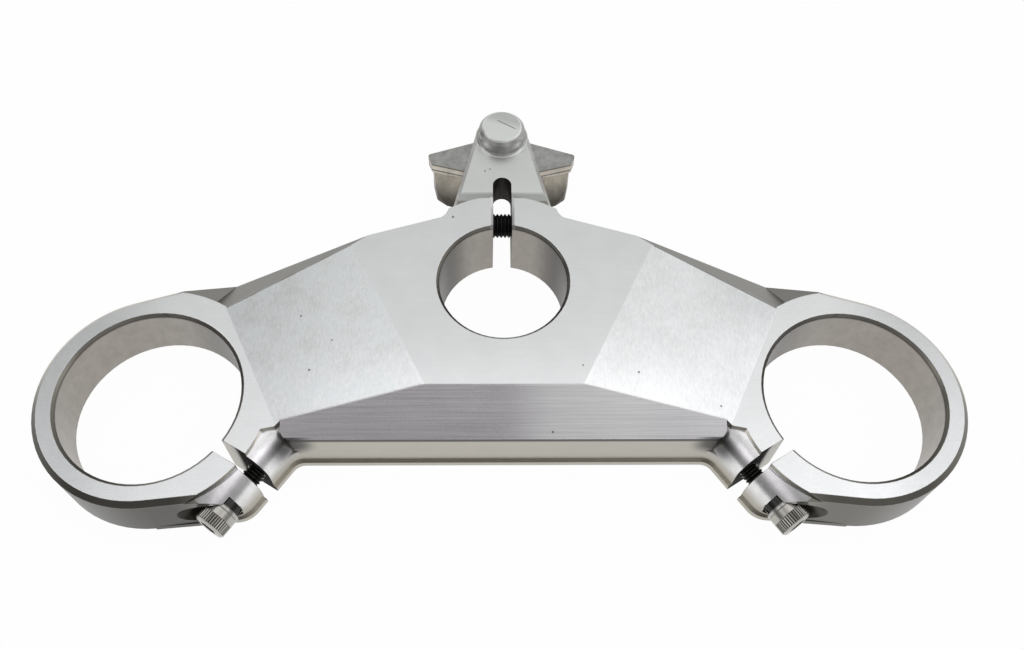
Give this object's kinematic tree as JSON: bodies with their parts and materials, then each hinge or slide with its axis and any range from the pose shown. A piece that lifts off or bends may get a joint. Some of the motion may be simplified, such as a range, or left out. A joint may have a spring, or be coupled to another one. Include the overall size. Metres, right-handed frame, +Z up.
{
  "type": "motorcycle triple clamp",
  "caption": "Slotted steering yoke with two fork tube clamps, a stem clamp, pinch screws, steering stops and a rear arm with a round boss.",
  "frame": {"origin": "on the stem bore axis, at the underside of the clamps", "axes": "+Z up along the stem bore, X from fork to fork, -Y forward to the fork bores, +Y back to the arm"},
  "size_m": [0.2724, 0.1432, 0.0267],
  "materials": {
    "machined_aluminium": "satin, partly machined and partly blasted",
    "bright_steel": "bright",
    "washer_steel": "bright",
    "black_steel": "black oxide"
  },
  "bodies": {
    "root": {"yoke": "machined_aluminium", "fork_screw_right": "bright_steel", "fork_screw_left": "bright_steel", "fork_washer_right": "washer_steel", "fork_washer_left": "washer_steel", "stem_screw": "black_steel"}
  },
  "joints": []
}
